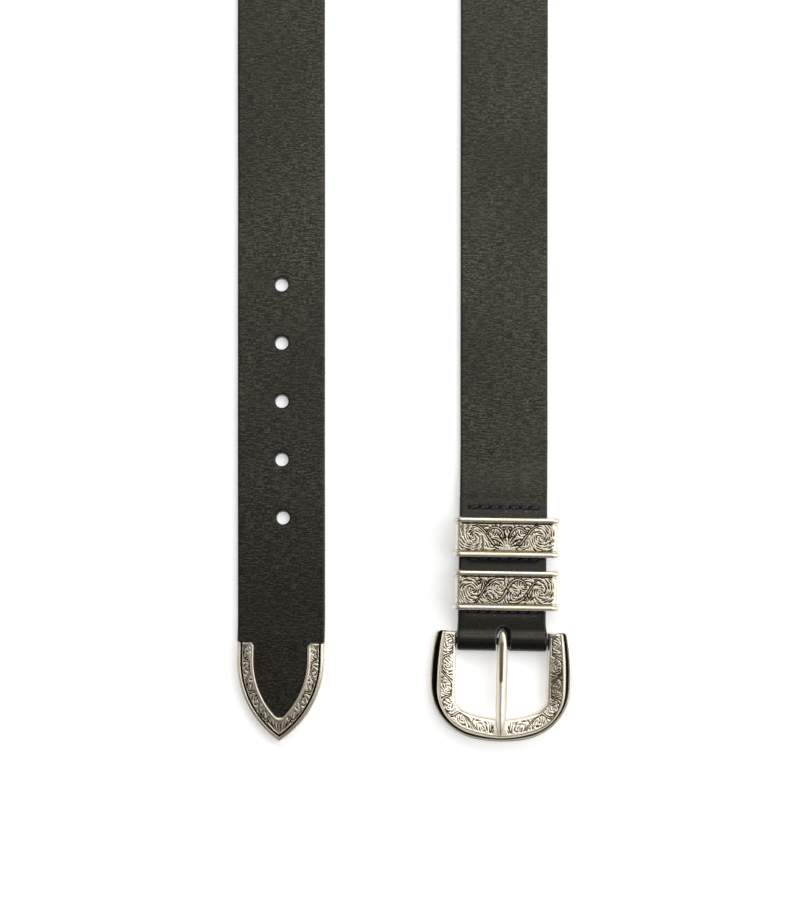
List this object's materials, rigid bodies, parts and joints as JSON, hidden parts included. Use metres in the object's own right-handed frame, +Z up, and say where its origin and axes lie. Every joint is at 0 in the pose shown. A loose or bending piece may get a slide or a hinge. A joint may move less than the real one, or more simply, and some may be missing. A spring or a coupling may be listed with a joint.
{
  "type": "drover belt",
  "caption": "Wide leather belt laid as a hairpin, with a horseshoe buckle, a prong, metal keepers and a pointed metal tip with raised scrollwork.",
  "frame": {"origin": "on the ground under the middle of the laid belt's box", "axes": "+Y along the two strands towards the loop, +X from the tip's strand to the buckle's strand, +Z up"},
  "size_m": [0.146, 0.5, 0.0381],
  "materials": {
    "leather": "fine-grained, waxed, burnished edges",
    "metal": "satin nickel silver with dark antiqued hollows"
  },
  "bodies": {
    "strap": {"strap": "leather", "tip": "metal", "keeper_lower": "metal", "keeper_upper": "metal"},
    "buckle": {"buckle_frame": "metal"},
    "prong": {"prong": "metal"}
  },
  "joints": [
    {"name": "buckle_swing", "type": "hinge", "parent": "strap", "child": "buckle", "pos_m": [0.04267, -0.20604, 0.00415], "axis": [-0.9997, 0.0244, 0], "range_deg": [-60, 45]},
    {"name": "prong_swing", "type": "hinge", "parent": "buckle", "child": "prong", "pos_m": [0.04267, -0.20604, 0.00415], "axis": [-0.9997, 0.0244, 0], "range_deg": [0, 75]}
  ]
}
